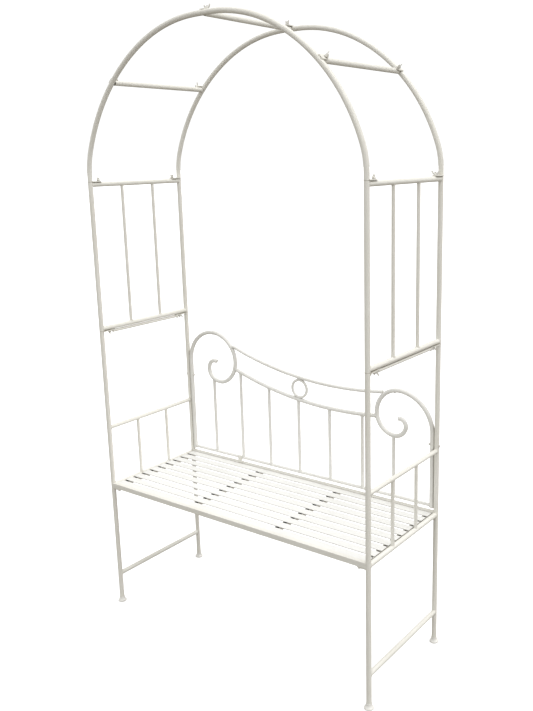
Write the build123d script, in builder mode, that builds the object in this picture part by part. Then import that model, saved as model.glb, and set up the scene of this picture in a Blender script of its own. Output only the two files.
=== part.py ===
from build123d import *
import math
import os

# Garden arch with a built-in bench, in powder-coated steel tube.
# Millimetres, +Z up. +X runs along the bench to the sitter's left, +Y to the back.
# Origin: centre of the footprint, on the ground.

# ---------------------------------------------------------------- driving sizes
half_width = 535.0          # post centre to arch centre, X
half_depth = 206.5          # post centre to arch centre, Y
tube_r = 8.0                # main tube, 16 mm
tube_ri = 6.8               # 1.2 mm wall
swage_r = 6.75              # reduced end that slips into the next tube
swage_ri = 5.5
swage_len = 18.0
end_chamfer = 0.9           # on the outer edge of each tube end at a joint
rail_r = 7.0                # armrest rails, 14 mm
rod_r = 7.5                 # scrolls of the backrest, 15 mm
lower_back_rail_r = 7.0     # rails between the scrolls, 14, 12 and 11.6 mm
top_back_rail_r = 6.0
back_rail_r = 5.8
thin_r = 5.5                # spindles and rungs, 11 mm

cap_floor = 3.0             # thickness under the tube's end
cap_height = 18.0
stretcher_z = 111.0
arm_z = 673.0
side_rail_z = 457.0
lower_joint_z = 1020.7      # leg to ladder post
ladder_bottom_z = lower_joint_z + tube_r
upper_joint_z = 1524.0      # ladder post to arch
ladder_top_z = upper_joint_z - tube_r
apex_z = 1987.6             # centreline of the arch at its top
rung_y = 71.0

lower_frame_rail_r = 5.0    # rail under the ladder, 10 mm rod
lower_rail_drop = 6.5       # its centre below the joint
nut_clearance = 14.0        # round a stud, so that the wings turn free
tongue_reach = 22.0         # tab's tongue over the rail, from the stud

tab_t = 3.0
tab_w = 20.0
ladder_bolt_in = 35.0       # bolt axis to post centre
bolt_r = 3.0                # M6
bolt_hole_r = 3.3
head_r = 5.5
head_h = 3.2
nut_bore_r = 3.05
nut_gap = 0.15              # play between a wing nut and its tab

# arch path: short straight, three tangent bends, short straight
arch_foot_straight = 20.0
arch_top_straight = 25.0
arch_r1 = 233.4
arch_a1 = 18.68
arch_a2 = 42.96
arch_a3 = 90.0 - arch_a1 - arch_a2
_c1, _s1 = math.cos(math.radians(arch_a1)), math.sin(math.radians(arch_a1))
_c2, _s2 = math.cos(math.radians(arch_a1 + arch_a2)), math.sin(math.radians(arch_a1 + arch_a2))
_dx = half_width - arch_top_straight - arch_r1 * (1 - _c1)
_dz = apex_z - upper_joint_z - arch_foot_straight - arch_r1 * _s1
_det = (_c1 - _c2) * (1 - _s2) - _c2 * (_s2 - _s1)
arch_r2 = (_dx * (1 - _s2) - _c2 * _dz) / _det
arch_r3 = ((_c1 - _c2) * _dz - (_s2 - _s1) * _dx) / _det
print("arch radii", round(arch_r1, 2), round(arch_r2, 2), round(arch_r3, 2))

# where the middle crossbars meet the arch: an angle along the second bend
mid_bar_angle = 44.40       # tangent turned from vertical, degrees
_t = math.radians(mid_bar_angle)
mid_bar_x = half_width - arch_r1 * (1 - _c1) - arch_r2 * (_c1 - math.cos(_t))
mid_bar_z = upper_joint_z + arch_foot_straight + arch_r1 * _s1 + arch_r2 * (math.sin(_t) - _s1)
print("mid bar", round(mid_bar_x, 1), round(mid_bar_z, 1))
crossbar_bolt_in = 20.0     # stud axis to the arch tube's centre
crossbar_gap = 1.0          # between a crossbar's end and the arch tube

# seat
seat_front_low, seat_front_high = 449.0, 467.0
front_rail_depth = 15.0
seat_rear_z = 460.0
slat_top_z = 463.0
slat_t = 3.0
slat_w = 30.0
slat_pitch = 40.3
slat_count = 10
slat_half_len = 525.5
support_w, support_h = 18.0, 12.0
support_x = (-515.0, -172.0, 172.0, 515.0)
seat_bolt_x = 505.0

# backrest
back_y = half_depth
back_rail_z = 484.0
stile_x = 519.2             # upright part of each scroll
left_scroll_start_z = 837.0
left_scroll = ((118.0, 79.0), (111.0, 72.5), (89.5, 87.5), (67.5, 57.5), (42.5, 88.0), (27.0, 88.0))
right_scroll_start_z = 723.5
right_scroll = ((126.0, 84.0), (82.5, 104.0), (71.5, 73.0), (42.5, 82.0), (25.5, 53.0), (21.0, 67.0))
top_rail_ends = ((-303.0, 912.0), (338.0, 836.0))
top_rail_sag = 39.0
lower_rail_ends = ((-298.0, 828.0), (316.0, 751.0))
lower_rail_sag = 35.0
spindle_x = (-404.0, -271.0, -138.0, -6.0, 126.0, 258.0, 379.0)
ring_r, ring_rod_r = 31.0, 4.8
bracket_x = (-283.0, 283.0)
left_post_bolt_z, right_post_bolt_z = 776.0, 690.0
small_bolt_r = 2.5          # M5
small_hole_r = 2.6

os.makedirs("parts", exist_ok=True)
sides = (("left", -1), ("right", 1))
ends = (("front", -1), ("rear", 1))


# ---------------------------------------------------------------- legs
for side, sx in sides:
    for end, sy in ends:
        px, py = sx * half_width, sy * half_depth
        with BuildPart() as leg:
            # hollow tube from the foot cap's floor to the joint
            with BuildSketch(Plane.XY.offset(cap_floor)):
                with Locations((px, py)):
                    Circle(tube_r)
                    Circle(tube_ri, mode=Mode.SUBTRACT)
            extrude(amount=lower_joint_z - cap_floor)
            # the end is drawn in and becomes the spigot of the joint
            with BuildSketch(Plane.XY.offset(lower_joint_z - 6)):
                with Locations((px, py)):
                    Circle(tube_ri)
                    Circle(swage_ri, mode=Mode.SUBTRACT)
            extrude(amount=6)
            with BuildSketch(Plane.XY.offset(lower_joint_z)):
                with Locations((px, py)):
                    Circle(swage_r)
                    Circle(swage_ri, mode=Mode.SUBTRACT)
            extrude(amount=swage_len)
            if end == "rear":
                # cross hole for the backrest bolt
                bolt_z = left_post_bolt_z if sx < 0 else right_post_bolt_z
                with BuildSketch(Plane(origin=(px - 12, py, bolt_z), x_dir=(0, 1, 0), z_dir=(1, 0, 0))):
                    Circle(small_hole_r)
                extrude(amount=24, mode=Mode.SUBTRACT)
            joint_edges = [e for e in leg.edges().filter_by(GeomType.CIRCLE)
                           if abs(e.radius - tube_r) < 0.01 and abs(e.center().Z - lower_joint_z) < 0.01]
            chamfer(joint_edges, end_chamfer)
        leg.part.label = end + "_" + side + "_leg"
        export_step(leg.part, "parts/" + leg.part.label + ".step")

# ---------------------------------------------------------------- foot caps
with BuildPart() as foot_caps:
    for sx in (-1, 1):
        for sy in (-1, 1):
            px, py = sx * half_width, sy * half_depth
            with BuildSketch(Plane(origin=(px, py, 0), x_dir=(1, 0, 0), z_dir=(0, -1, 0))):
                with BuildLine():
                    Polyline((0, 0), (14.2, 0), (15.0, 0.8), (15.0, 4.2), (14.2, 5.4))
                    ThreePointArc((14.2, 5.4), (11.0, 9.0), (9.4, 14.5))
                    Polyline((9.4, 14.5), (9.4, cap_height - 0.6), (8.9, cap_height), (tube_r, cap_height),
                             (tube_r, cap_floor), (0, cap_floor), (0, 0))
                make_face()
            revolve(axis=Axis((px, py, 0), (0, 0, 1)))
foot_caps.part.label = "foot_caps"
export_step(foot_caps.part, "parts/foot_caps.step")


# ---------------------------------------------------------------- rails along Y between two posts
def post_cutters(px, low, high):
    """Solid cylinders the size of the two posts, used to cope what meets them."""
    with BuildPart(mode=Mode.PRIVATE) as posts:
        with BuildSketch(Plane.XY.offset(low)):
            with Locations((px, -half_depth), (px, half_depth)):
                Circle(tube_r)
        extrude(amount=high - low)
    return posts.part


for side, sx in sides:
    px = sx * half_width
    for rail_name, z, r, wall in (("side_stretcher", stretcher_z, tube_r, 1.2),
                                  ("side_seat_rail", side_rail_z, tube_r, 1.2),
                                  ("armrest_rail", arm_z, rail_r, 1.2),
                                  ("ladder_bottom_rail", ladder_bottom_z, tube_r, 1.2),
                                  ("ladder_top_rail", ladder_top_z, tube_r, 1.2)):
        coping = post_cutters(px, z - 20, z + 20)
        with BuildPart() as rail:
            with BuildSketch(Plane(origin=(px, -half_depth + 1, z), x_dir=(1, 0, 0), z_dir=(0, 1, 0))):
                Circle(r)
                Circle(r - wall, mode=Mode.SUBTRACT)
            extrude(amount=2 * half_depth - 2)
            add(coping, mode=Mode.SUBTRACT)
            if rail_name == "side_seat_rail":
                # cut square on the inside, where the seat's own rails meet the post
                with BuildSketch(Plane.XY.offset(z - 20)):
                    with Locations((px - sx * 10, -half_depth), (px - sx * 10, half_depth)):
                        Rectangle(20, 2 * tube_r)
                extrude(amount=40, mode=Mode.SUBTRACT)
            if "ladder" in rail_name:
                # stud holes, straight through both walls
                with BuildSketch(Plane.XY.offset(z - 10)):
                    with Locations((px, -half_depth + ladder_bolt_in), (px, half_depth - ladder_bolt_in)):
                        Circle(bolt_r)
                extrude(amount=20, mode=Mode.SUBTRACT)
        rail.part.label = side + "_" + rail_name
        export_step(rail.part, "parts/" + rail.part.label + ".step")


# ---------------------------------------------------------------- thin uprights, coped to the rails
def rail_cutter(px, z, r):
    with BuildPart(mode=Mode.PRIVATE) as c:
        with BuildSketch(Plane(origin=(px, -half_depth, z), x_dir=(1, 0, 0), z_dir=(0, 1, 0))):
            Circle(r)
        extrude(amount=2 * half_depth)
    return c.part


with BuildPart() as armrest_spindles:
    for sx in (-1, 1):
        px = sx * half_width
        with BuildSketch(Plane.XY.offset(side_rail_z)):
            with Locations((px, -rung_y), (px, rung_y)):
                Circle(thin_r)
        extrude(amount=arm_z - side_rail_z)
        add(rail_cutter(px, side_rail_z, tube_r), mode=Mode.SUBTRACT)
        add(rail_cutter(px, arm_z, rail_r), mode=Mode.SUBTRACT)
armrest_spindles.part.label = "armrest_spindles"
export_step(armrest_spindles.part, "parts/armrest_spindles.step")

with BuildPart() as ladder_rungs:
    for sx in (-1, 1):
        px = sx * half_width
        with BuildSketch(Plane.XY.offset(ladder_bottom_z)):
            with Locations((px, -rung_y), (px, rung_y)):
                Circle(thin_r)
        extrude(amount=ladder_top_z - ladder_bottom_z)
        add(rail_cutter(px, ladder_bottom_z, tube_r), mode=Mode.SUBTRACT)
        add(rail_cutter(px, ladder_top_z, tube_r), mode=Mode.SUBTRACT)
ladder_rungs.part.label = "ladder_rungs"
export_step(ladder_rungs.part, "parts/ladder_rungs.step")

# ---------------------------------------------------------------- top rails of the lower side frames
# Each runs from tab to tab, just under the ladder's bottom rail.
with BuildPart() as lower_frame_rails:
    for sx in (-1, 1):
        px = sx * half_width
        reach = half_depth - ladder_bolt_in
        with BuildSketch(Plane(origin=(px, -reach, lower_joint_z - lower_rail_drop), x_dir=(1, 0, 0),
                               z_dir=(0, 1, 0))):
            Circle(lower_frame_rail_r)
        extrude(amount=2 * reach)
    # the ends stop clear of the wing nuts and are flattened under the tabs' tongues
    for sy in (-1, 1):
        by = sy * (half_depth - ladder_bolt_in)
        with BuildSketch(Plane.XY.offset(lower_joint_z - 30)):
            with Locations(*[(sx * half_width, by) for sx in (-1, 1)]):
                Circle(nut_clearance)
        extrude(amount=30, mode=Mode.SUBTRACT)
        with BuildSketch(Plane.XY.offset(lower_joint_z - tab_t)):
            with Locations(*[(sx * half_width, by - sy * tongue_reach / 2) for sx in (-1, 1)]):
                Rectangle(24, tongue_reach)
        extrude(amount=tab_t + 1, mode=Mode.SUBTRACT)
lower_frame_rails.part.label = "lower_frame_top_rails"
export_step(lower_frame_rails.part, "parts/lower_frame_top_rails.step")

# ---------------------------------------------------------------- ladder posts
for side, sx in sides:
    for end, sy in ends:
        px, py = sx * half_width, sy * half_depth
        with BuildPart() as post:
            with BuildSketch(Plane.XY.offset(lower_joint_z)):
                with Locations((px, py)):
                    Circle(tube_r)
                    Circle(tube_ri, mode=Mode.SUBTRACT)
            extrude(amount=upper_joint_z - lower_joint_z)
            with BuildSketch(Plane.XY.offset(upper_joint_z - 6)):
                with Locations((px, py)):
                    Circle(tube_ri)
                    Circle(swage_ri, mode=Mode.SUBTRACT)
            extrude(amount=6)
            with BuildSketch(Plane.XY.offset(upper_joint_z)):
                with Locations((px, py)):
                    Circle(swage_r)
                    Circle(swage_ri, mode=Mode.SUBTRACT)
            extrude(amount=swage_len)
            joint_edges = [e for e in post.edges().filter_by(GeomType.CIRCLE) if abs(e.radius - tube_r) < 0.01
                           and min(abs(e.center().Z - lower_joint_z), abs(e.center().Z - upper_joint_z)) < 0.01]
            chamfer(joint_edges, end_chamfer)
        post.part.label = end + "_" + side + "_ladder_post"
        export_step(post.part, "parts/" + post.part.label + ".step")

# ---------------------------------------------------------------- tabs welded to the posts
# Flat ears, welded inside each post end; the lower ones pass under the ladder's
# bottom rail, the upper ones lie on its top rail.
with BuildPart() as post_tabs:
    for sx in (-1, 1):
        for sy in (-1, 1):
            px, py = sx * half_width, sy * half_depth
            by = sy * (half_depth - ladder_bolt_in)
            for low in (lower_joint_z - tab_t, upper_joint_z):
                with BuildSketch(Plane.XY.offset(low)):
                    with Locations((px, (by + sy * (half_depth)) / 2)):
                        Rectangle(tab_w, ladder_bolt_in)
                    with Locations((px, by)):
                        Circle(tab_w / 2)
                    if low < lower_joint_z:
                        with Locations((px, by - sy * tongue_reach / 2)):
                            Rectangle(10, tongue_reach)
                    with Locations((px, py)):
                        Circle(tube_r, mode=Mode.SUBTRACT)
                        with Locations((0, sy * 20)):
                            Rectangle(40, 40, mode=Mode.SUBTRACT)
                    with Locations((px, by)):
                        Circle(bolt_hole_r, mode=Mode.SUBTRACT)
                extrude(amount=tab_t)
    # ears under the seat's front and rear rails
    for sx in (-1, 1):
        for sy, low in ((-1, seat_front_low - tab_t), (1, seat_rear_z - tube_r - tab_t)):
            px, py = sx * half_width, sy * half_depth
            with BuildSketch(Plane.XY.offset(low)):
                with Locations((sx * (half_width + seat_bolt_x) / 2, py)):
                    Rectangle(half_width - seat_bolt_x, 14)
                with Locations((sx * seat_bolt_x, py)):
                    Circle(7)
                    Circle(bolt_hole_r, mode=Mode.SUBTRACT)
                with Locations((px, py)):
                    Circle(tube_r, mode=Mode.SUBTRACT)
                    with Locations((sx * 20, 0)):
                        Rectangle(40, 40, mode=Mode.SUBTRACT)
            extrude(amount=tab_t)
post_tabs.part.label = "post_tabs"
export_step(post_tabs.part, "parts/post_tabs.step")

# ---------------------------------------------------------------- arch quarters
for side, sx in sides:
    for end, sy in ends:
        py = sy * half_depth
        work = Plane(origin=(0, py, 0), x_dir=(1, 0, 0), z_dir=(0, -1, 0))
        with BuildPart() as arc:
            with BuildLine(work):
                foot = Line((sx * half_width, upper_joint_z), (sx * half_width, upper_joint_z + arch_foot_straight))
                bend1 = JernArc(foot @ 1, foot % 1, arch_r1, sx * arch_a1)
                bend2 = JernArc(bend1 @ 1, bend1 % 1, arch_r2, sx * arch_a2)
                bend3 = JernArc(bend2 @ 1, bend2 % 1, arch_r3, sx * arch_a3)
                crown = Line(bend3 @ 1, (0, apex_z))
            with BuildSketch(Plane.XY.offset(upper_joint_z)):
                with Locations((sx * half_width, py)):
                    Circle(tube_r)
                    Circle(tube_ri, mode=Mode.SUBTRACT)
            sweep()
            joint_edges = [e for e in arc.edges().filter_by(GeomType.CIRCLE) if abs(e.radius - tube_r) < 0.01
                           and (abs(e.center().Z - upper_joint_z) < 0.01 or abs(e.center().X) < 0.01)]
            chamfer(joint_edges, end_chamfer)
            if side == "left":
                # drawn-in end that slips into the right-hand quarter
                with BuildSketch(Plane(origin=(-6, py, apex_z), x_dir=(0, 1, 0), z_dir=(1, 0, 0))):
                    Circle(tube_ri)
                    Circle(swage_ri, mode=Mode.SUBTRACT)
                extrude(amount=6)
                with BuildSketch(Plane(origin=(0, py, apex_z), x_dir=(0, 1, 0), z_dir=(1, 0, 0))):
                    Circle(swage_r)
                    Circle(swage_ri, mode=Mode.SUBTRACT)
                extrude(amount=swage_len)
        arc.part.label = end + "_" + side + "_arch_tube"
        export_step(arc.part, "parts/" + arc.part.label + ".step")

# ---------------------------------------------------------------- crossbars over the arch
# A crossbar is a tube between the two arch tubes. An ear, welded on top of the
# arch tube, lies on it over a stud. "out" points away from the arch's inside.
crossings = {
    "left": ((-mid_bar_x, mid_bar_z), (-math.cos(_t), math.sin(_t))),
    "top": ((0.0, apex_z), (0.0, 1.0)),
    "right": ((mid_bar_x, mid_bar_z), (math.cos(_t), math.sin(_t))),
}
ear_w = 18.0
ear_face = 7.7              # underside of an ear, from the arch tube's centreline
crossbar_in = ear_face - tube_r
crossbar_end = half_depth - tube_r - crossbar_gap


def crossing_point(name, y, out_offset):
    (cx, cz), (ox, oz) = crossings[name]
    return Vector(cx + ox * out_offset, y, cz + oz * out_offset)


for name, ((cx, cz), (ox, oz)) in crossings.items():
    with BuildPart() as bar:
        with BuildSketch(Plane(origin=crossing_point(name, -crossbar_end, crossbar_in), x_dir=(oz, 0, -ox), z_dir=(0, 1, 0))):
            Circle(tube_r)
            Circle(tube_ri, mode=Mode.SUBTRACT)
        extrude(amount=2 * crossbar_end)
        for sy in (-1, 1):
            # hole for the stud
            with BuildSketch(Plane(origin=crossing_point(name, sy * (half_depth - crossbar_bolt_in), -10),
                                   x_dir=(0, 1, 0), z_dir=(ox, 0, oz))):
                Circle(bolt_r)
            extrude(amount=20, mode=Mode.SUBTRACT)
    bar.part.label = name + "_crossbar"
    export_step(bar.part, "parts/" + bar.part.label + ".step")

with BuildPart() as arch_ears:
    for name, ((cx, cz), (ox, oz)) in crossings.items():
        for sy in (-1, 1):
            by = sy * (half_depth - crossbar_bolt_in)
            ear = Plane(origin=crossing_point(name, by, ear_face), x_dir=(0, 1, 0), z_dir=(ox, 0, oz))
            outer = sy * (half_depth + 2.5) - by
            with BuildSketch(ear):
                with Locations((outer / 2, 0)):
                    Rectangle(abs(outer), ear_w)
                Circle(ear_w / 2)
                Circle(bolt_hole_r, mode=Mode.SUBTRACT)
            extrude(amount=tab_t)
    # a crossing of the arch tube's round top is taken out of each ear
    for sy in (-1, 1):
        py = sy * half_depth
        for sx in (-1, 1):
            with BuildPart(mode=Mode.PRIVATE) as full_arc:
                with BuildLine(Plane(origin=(0, py, 0), x_dir=(1, 0, 0), z_dir=(0, -1, 0))):
                    c_foot = Line((sx * half_width, upper_joint_z), (sx * half_width, upper_joint_z + arch_foot_straight))
                    c_b1 = JernArc(c_foot @ 1, c_foot % 1, arch_r1, sx * arch_a1)
                    c_b2 = JernArc(c_b1 @ 1, c_b1 % 1, arch_r2, sx * arch_a2)
                    c_b3 = JernArc(c_b2 @ 1, c_b2 % 1, arch_r3, sx * arch_a3)
                    c_top = Line(c_b3 @ 1, (0, apex_z))
                with BuildSketch(Plane.XY.offset(upper_joint_z)):
                    with Locations((sx * half_width, py)):
                        Circle(tube_r)
                sweep()
            add(full_arc.part, mode=Mode.SUBTRACT)
arch_ears.part.label = "arch_ears"
export_step(arch_ears.part, "parts/arch_ears.step")

# ---------------------------------------------------------------- studs and wing nuts of the frame
# Each joint: where the wing nut's base sits, which way the stud's tip points,
# and how deep the stud reaches. It is welded through both walls of its tube and
# ground flush on the far side.
joints = []
for side, sx in sides:
    for end, sy in ends:
        px, by = sx * half_width, sy * (half_depth - ladder_bolt_in)
        joints.append((end + "_" + side + "_upper", Vector(px, by, upper_joint_z + tab_t), Vector(0, 0, 1),
                       tab_t + 2 * tube_r))
        joints.append((end + "_" + side + "_lower", Vector(px, by, lower_joint_z - tab_t), Vector(0, 0, -1),
                       tab_t + 2 * tube_r))
for name, ((cx, cz), (ox, oz)) in crossings.items():
    for end, sy in ends:
        by = sy * (half_depth - crossbar_bolt_in)
        joints.append((end + "_" + name + "_crossbar", crossing_point(name, by, ear_face + tab_t), Vector(ox, 0, oz),
                       tab_t + 2 * tube_r))
wing_turn = {
    "front_left_upper": 35, "front_left_lower": 120, "rear_left_upper": 70, "rear_left_lower": 20,
    "front_right_upper": 20, "front_right_lower": 60, "rear_right_upper": 95, "rear_right_lower": 10,
    "front_left_crossbar": 80, "rear_left_crossbar": 100, "front_top_crossbar": 85, "rear_top_crossbar": 60,
    "front_right_crossbar": 40, "rear_right_crossbar": 15,
}


def joint_plane(seat, out, turn):
    """Plane at a nut's seat, normal along the bolt's tip, x along the wings."""
    x0 = Vector(0, 1, 0)
    y0 = out.cross(x0)
    a = math.radians(turn)
    return Plane(origin=seat, x_dir=x0 * math.cos(a) + y0 * math.sin(a), z_dir=out)


with BuildPart() as frame_studs:
    for name, seat, out, grip in joints:
        with BuildSketch(Plane(origin=seat - out * grip, x_dir=(0, 1, 0), z_dir=out)):
            Circle(bolt_r)
        extrude(amount=grip + 10.5)
frame_studs.part.label = "frame_studs"
export_step(frame_studs.part, "parts/frame_studs.step")

for name, seat, out, grip in joints:
    base = joint_plane(seat + out * nut_gap, out, wing_turn[name])
    side_plane = Plane(origin=base.origin, x_dir=base.x_dir, z_dir=base.x_dir.cross(out))
    with BuildPart() as wing_nut:
        with BuildSketch(base):
            Circle(5.6)
        extrude(amount=7.2, taper=8)
        # two wings, flaring up and out from the boss
        for s in (-1, 1):
            with BuildSketch(side_plane):
                with BuildLine():
                    Polyline((s * 2.0, 1.6), (s * 5.4, 1.6), (s * 11.4, 7.0))
                    ThreePointArc((s * 11.4, 7.0), (s * 13.4, 10.6), (s * 11.8, 13.6))
                    ThreePointArc((s * 11.8, 13.6), (s * 8.6, 12.8), (s * 6.8, 9.6))
                    Polyline((s * 6.8, 9.6), (s * 5.0, 6.8), (s * 2.0, 6.8), (s * 2.0, 1.6))
                make_face()
            extrude(amount=1.1, both=True)
        with BuildSketch(base):
            Circle(nut_bore_r)
        extrude(amount=20, mode=Mode.SUBTRACT)
    wing_nut.part.label = name + "_wing_nut"
    export_step(wing_nut.part, "parts/" + wing_nut.part.label + ".step")

# ---------------------------------------------------------------- seat
with BuildPart(mode=Mode.PRIVATE) as all_posts:
    with BuildSketch(Plane.XY.offset(300)):
        with Locations(*[(sx * half_width, sy * half_depth) for sx in (-1, 1) for sy in (-1, 1)]):
            Circle(tube_r)
    extrude(amount=400)

front_rail_mid = (seat_front_low + seat_front_high) / 2
with BuildPart() as seat_front_rail:
    with BuildSketch(Plane(origin=(-half_width, -half_depth, front_rail_mid), x_dir=(0, 1, 0), z_dir=(1, 0, 0))):
        RectangleRounded(front_rail_depth, seat_front_high - seat_front_low, 1.5)
        RectangleRounded(front_rail_depth - 2.4, seat_front_high - seat_front_low - 2.4, 0.4, mode=Mode.SUBTRACT)
    extrude(amount=2 * half_width)
    add(all_posts.part, mode=Mode.SUBTRACT)
    with BuildSketch(Plane.XY.offset(seat_front_low - 1)):
        with Locations((-seat_bolt_x, -half_depth), (seat_bolt_x, -half_depth)):
            Circle(bolt_hole_r)
    extrude(amount=4, mode=Mode.SUBTRACT)
seat_front_rail.part.label = "seat_front_rail"
export_step(seat_front_rail.part, "parts/seat_front_rail.step")

with BuildPart() as seat_rear_rail:
    with BuildSketch(Plane(origin=(-half_width + 1, half_depth, seat_rear_z), x_dir=(0, 1, 0), z_dir=(1, 0, 0))):
        Circle(tube_r)
        Circle(tube_ri, mode=Mode.SUBTRACT)
    extrude(amount=2 * half_width - 2)
    add(all_posts.part, mode=Mode.SUBTRACT)
    with BuildSketch(Plane.XY.offset(seat_rear_z - tube_r - 1)):
        with Locations((-seat_bolt_x, half_depth), (seat_bolt_x, half_depth)):
            Circle(bolt_hole_r)
    extrude(amount=5, mode=Mode.SUBTRACT)
seat_rear_rail.part.label = "seat_rear_rail"
export_step(seat_rear_rail.part, "parts/seat_rear_rail.step")

with BuildPart(mode=Mode.PRIVATE) as rear_rail_solid:
    with BuildSketch(Plane(origin=(-half_width, half_depth, seat_rear_z), x_dir=(0, 1, 0), z_dir=(1, 0, 0))):
        Circle(tube_r)
    extrude(amount=2 * half_width)

slat_low = slat_top_z - slat_t
with BuildPart() as seat_supports:
    for x in support_x:
        with BuildSketch(Plane(origin=(x, -half_depth + front_rail_depth / 2, slat_low - support_h / 2),
                               x_dir=(1, 0, 0), z_dir=(0, -1, 0))):
            Rectangle(support_w, support_h)
            with Locations((0, 1.2)):
                Rectangle(support_w - 2.4, support_h, mode=Mode.SUBTRACT)
        extrude(amount=-(2 * half_depth - front_rail_depth / 2 - tube_r + 1))
    add(rear_rail_solid.part, mode=Mode.SUBTRACT)
seat_supports.part.label = "seat_supports"
export_step(seat_supports.part, "parts/seat_supports.step")

with BuildPart() as seat_slats:
    for i in range(slat_count):
        y = (i - (slat_count - 1) / 2) * slat_pitch
        with BuildSketch(Plane(origin=(-slat_half_len, y, slat_low + slat_t / 2), x_dir=(0, 1, 0), z_dir=(1, 0, 0))):
            RectangleRounded(slat_w, slat_t, 0.8)
        extrude(amount=2 * slat_half_len)
seat_slats.part.label = "seat_slats"
export_step(seat_slats.part, "parts/seat_slats.step")

with BuildPart() as seat_bolts:
    for sx in (-1, 1):
        for sy, low in ((-1, seat_front_low - tab_t), (1, seat_rear_z - tube_r - tab_t)):
            with BuildSketch(Plane.XY.offset(low - 4)):
                with Locations((sx * seat_bolt_x, sy * half_depth)):
                    RegularPolygon(5.6, 6)
            extrude(amount=4)
            with BuildSketch(Plane.XY.offset(low)):
                with Locations((sx * seat_bolt_x, sy * half_depth)):
                    Circle(bolt_r)
            extrude(amount=tab_t + 9)
seat_bolts.part.label = "seat_bolts"
export_step(seat_bolts.part, "parts/seat_bolts.step")

# ---------------------------------------------------------------- backrest
scroll_solids = {}
for side, sx, start_z, bends, bolt_z in (("left", -1, left_scroll_start_z, left_scroll, left_post_bolt_z),
                                         ("right", 1, right_scroll_start_z, right_scroll, right_post_bolt_z)):
    with BuildPart() as scroll:
        with BuildLine(Plane(origin=(0, back_y, 0), x_dir=(1, 0, 0), z_dir=(0, -1, 0))):
            run = Line((sx * stile_x, back_rail_z - rod_r), (sx * stile_x, start_z))
            for r, a in bends:
                run = JernArc(run @ 1, run % 1, r, sx * a)
        with BuildSketch(Plane.XY.offset(back_rail_z - rod_r)):
            with Locations((sx * stile_x, back_y)):
                Circle(rod_r)
        sweep()
        with BuildSketch(Plane(origin=(sx * stile_x - 12, back_y, bolt_z), x_dir=(0, 1, 0), z_dir=(1, 0, 0))):
            Circle(small_hole_r)
        extrude(amount=24, mode=Mode.SUBTRACT)
    scroll.part.label = "backrest_" + side + "_scroll"
    scroll_solids[side] = scroll.part
    export_step(scroll.part, "parts/" + scroll.part.label + ".step")


def sagging_rail(ends_xz, sag, r):
    """Rod on one arc between two points in the backrest's plane."""
    (x0, z0), (x1, z1) = ends_xz
    chord = math.hypot(x1 - x0, z1 - z0)
    mx, mz = (x0 + x1) / 2, (z0 + z1) / 2
    nx, nz = (z1 - z0) / chord, -(x1 - x0) / chord
    back = Plane(origin=(0, back_y, 0), x_dir=(1, 0, 0), z_dir=(0, -1, 0))
    with BuildPart(mode=Mode.PRIVATE) as rod:
        with BuildLine(back):
            bow = ThreePointArc((x0, z0), (mx + nx * sag, mz + nz * sag), (x1, z1))
        with BuildSketch(Plane(origin=bow @ 0, z_dir=bow % 0)):
            Circle(r)
        sweep()
    return rod.part


top_rod = sagging_rail(top_rail_ends, top_rail_sag, top_back_rail_r)
lower_rod = sagging_rail(lower_rail_ends, lower_rail_sag, lower_back_rail_r)

for rod_name, rod in (("backrest_top_rail", top_rod), ("backrest_lower_rail", lower_rod)):
    with BuildPart() as back_rail:
        add(rod)
        add(scroll_solids["left"], mode=Mode.SUBTRACT)
        add(scroll_solids["right"], mode=Mode.SUBTRACT)
        # keep only the length between the scrolls
        keep = back_rail.solids().sort_by(SortBy.VOLUME)[-1]
        add(keep, mode=Mode.INTERSECT)
    back_rail.part.label = rod_name
    export_step(back_rail.part, "parts/" + rod_name + ".step")

with BuildPart() as backrest_bottom_rail:
    with BuildSketch(Plane(origin=(-stile_x, back_y, back_rail_z), x_dir=(0, 1, 0), z_dir=(1, 0, 0))):
        Circle(back_rail_r)
    extrude(amount=2 * stile_x)
    for s in (-1, 1):
        with BuildSketch(Plane.XY.offset(back_rail_z - 10)):
            with Locations((s * stile_x, back_y)):
                Circle(rod_r)
        extrude(amount=20, mode=Mode.SUBTRACT)
    for x in bracket_x:
        with BuildSketch(Plane(origin=(x, back_y - 10, back_rail_z), x_dir=(1, 0, 0), z_dir=(0, 1, 0))):
            Circle(small_hole_r)
        extrude(amount=20, mode=Mode.SUBTRACT)
backrest_bottom_rail.part.label = "backrest_bottom_rail"
export_step(backrest_bottom_rail.part, "parts/backrest_bottom_rail.step")

spindle_top = (792.0, 818.0, 790.0, 766.0, 750.0, 752.0, 720.0)
with BuildPart(mode=Mode.PRIVATE) as bottom_rod_solid:
    with BuildSketch(Plane(origin=(-stile_x, back_y, back_rail_z), x_dir=(0, 1, 0), z_dir=(1, 0, 0))):
        Circle(back_rail_r)
    extrude(amount=2 * stile_x)
spindle_targets = ["left", "rail", "rail", "rail", "rail", "rail", "right"]
spindle_solids = []
for x, target in zip(spindle_x, spindle_targets):
    cutter = scroll_solids[target] if target in scroll_solids else lower_rod
    with BuildPart(mode=Mode.PRIVATE) as stick:
        with BuildSketch(Plane.XY.offset(back_rail_z)):
            with Locations((x, back_y)):
                Circle(thin_r)
        extrude(amount=370)
        add(cutter, mode=Mode.SUBTRACT)
        add(bottom_rod_solid.part, mode=Mode.SUBTRACT)
    # the piece below the rod it meets
    spindle_solids.append(stick.solids().sort_by(Axis.Z)[0])
with BuildPart() as backrest_spindles:
    add(spindle_solids)
backrest_spindles.part.label = "backrest_spindles"
export_step(backrest_spindles.part, "parts/backrest_spindles.step")


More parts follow.
